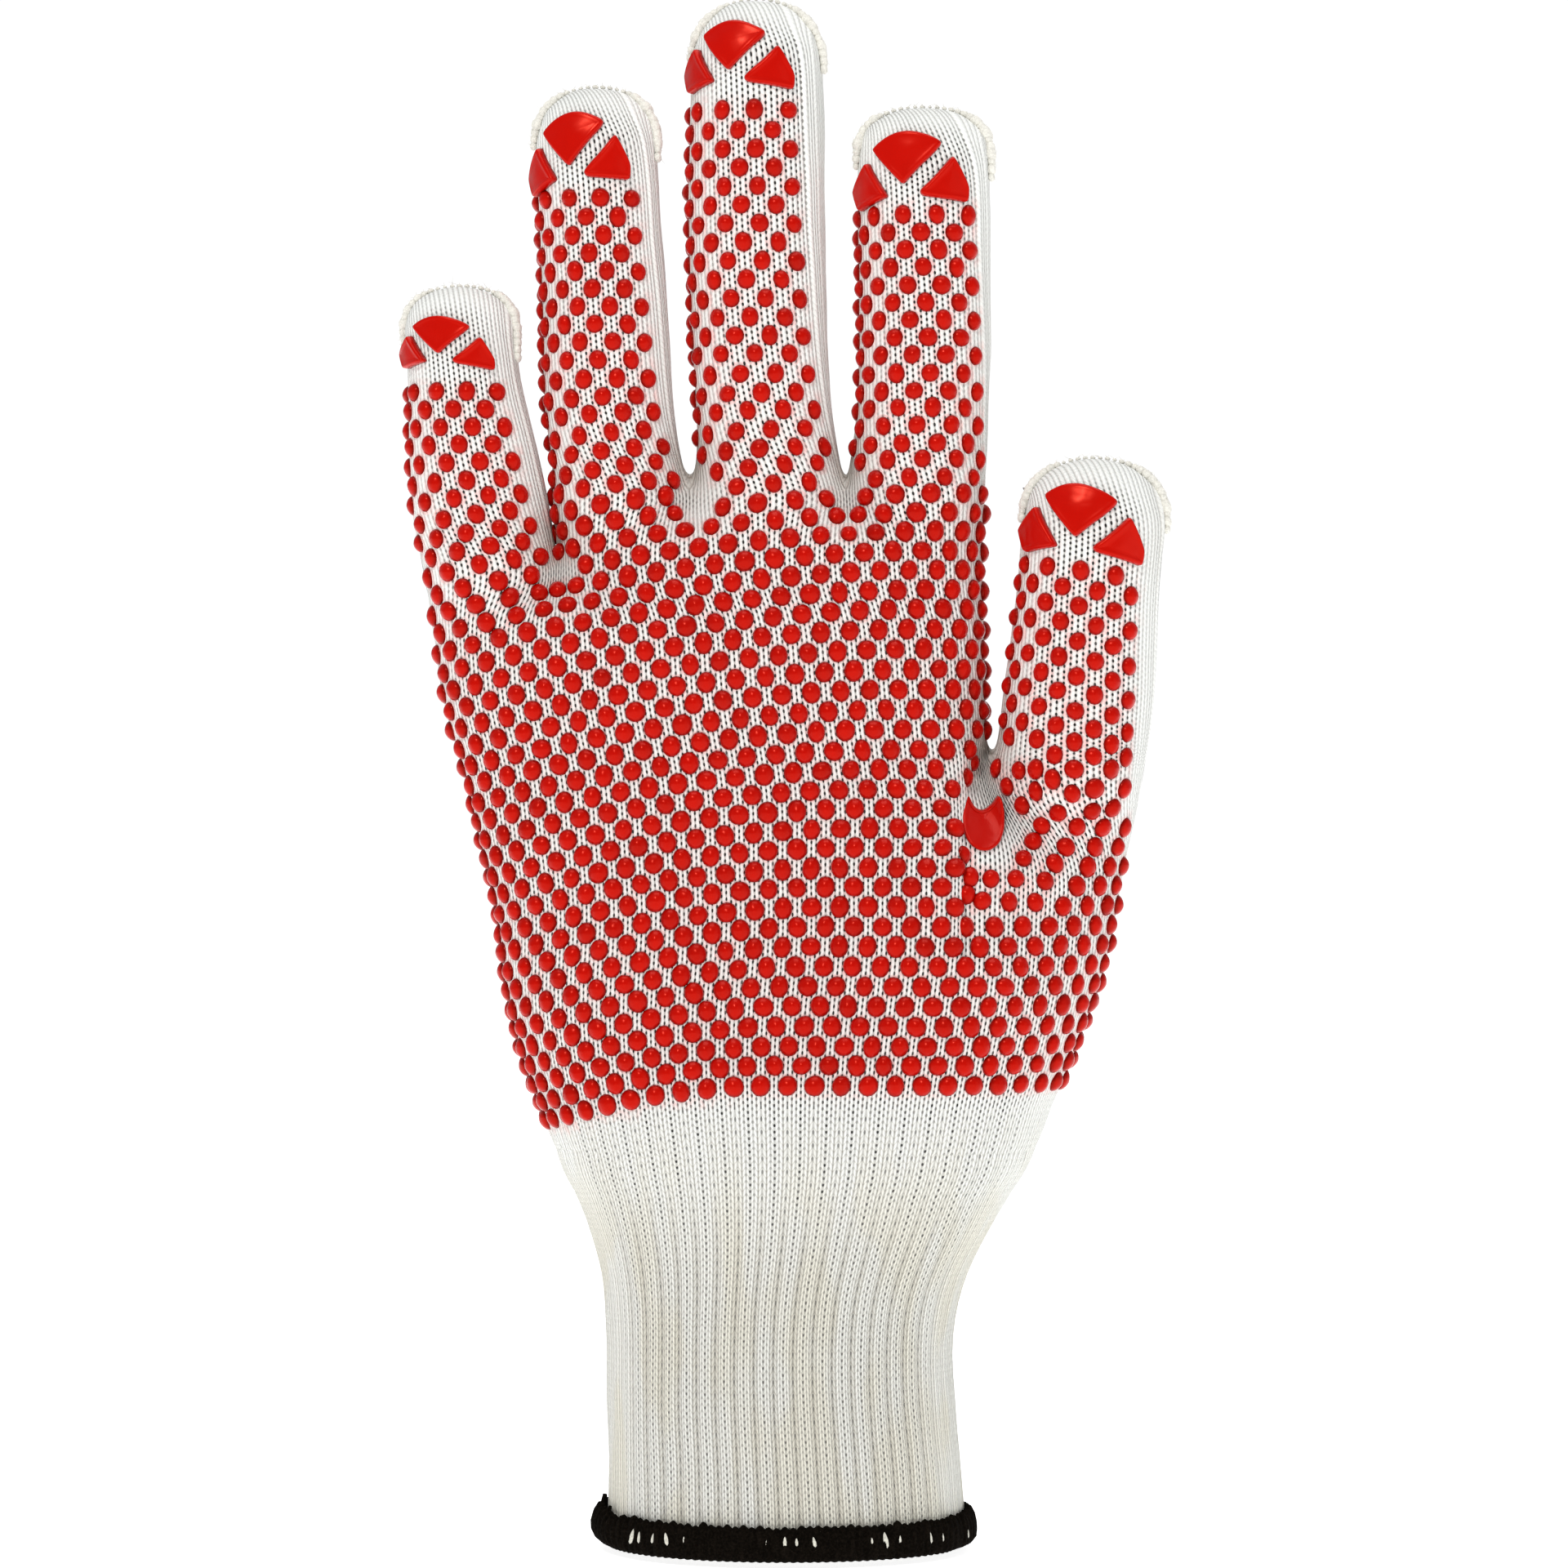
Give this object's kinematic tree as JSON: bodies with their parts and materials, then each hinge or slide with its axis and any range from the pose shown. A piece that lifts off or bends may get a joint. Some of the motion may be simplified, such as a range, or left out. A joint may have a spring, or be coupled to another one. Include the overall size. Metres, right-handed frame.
{
  "type": "knit glove",
  "caption": "Seamless knit work glove with ribbed cuff, overlocked edge, dotted grip palm and fingertip grip pads; a hand goes in at the wrist.",
  "frame": {"origin": "centre of the cuff mouth, where the hand goes in", "axes": "+Z from the cuff to the fingertips, -Y out of the dotted palm, +X toward the thumb"},
  "size_m": [0.1256, 0.0468, 0.2512],
  "materials": {
    "white_knit": "plain seamless knit, matt",
    "black_edge": "overlocked yarn",
    "cream_seam": "fuzzy linked yarn",
    "red_grip": "glossy soft vinyl"
  },
  "bodies": {
    "root": {"knit_shell": "white_knit", "cuff_edge": "black_edge", "fingertip_seam_little": "cream_seam", "fingertip_seam_ring": "cream_seam", "fingertip_seam_middle": "cream_seam", "fingertip_seam_index": "cream_seam", "fingertip_seam_thumb": "cream_seam", "pad_little_tip": "red_grip", "pad_little_left": "red_grip", "pad_little_right": "red_grip", "pad_ring_tip": "red_grip", "pad_ring_left": "red_grip", "pad_ring_right": "red_grip", "pad_middle_tip": "red_grip", "pad_middle_left": "red_grip", "pad_middle_right": "red_grip", "pad_index_tip": "red_grip", "pad_index_left": "red_grip", "pad_index_right": "red_grip", "pad_thumb_tip": "red_grip", "pad_thumb_left": "red_grip", "pad_thumb_right": "red_grip", "thumb_crotch_pad": "red_grip"}
  },
  "joints": []
}
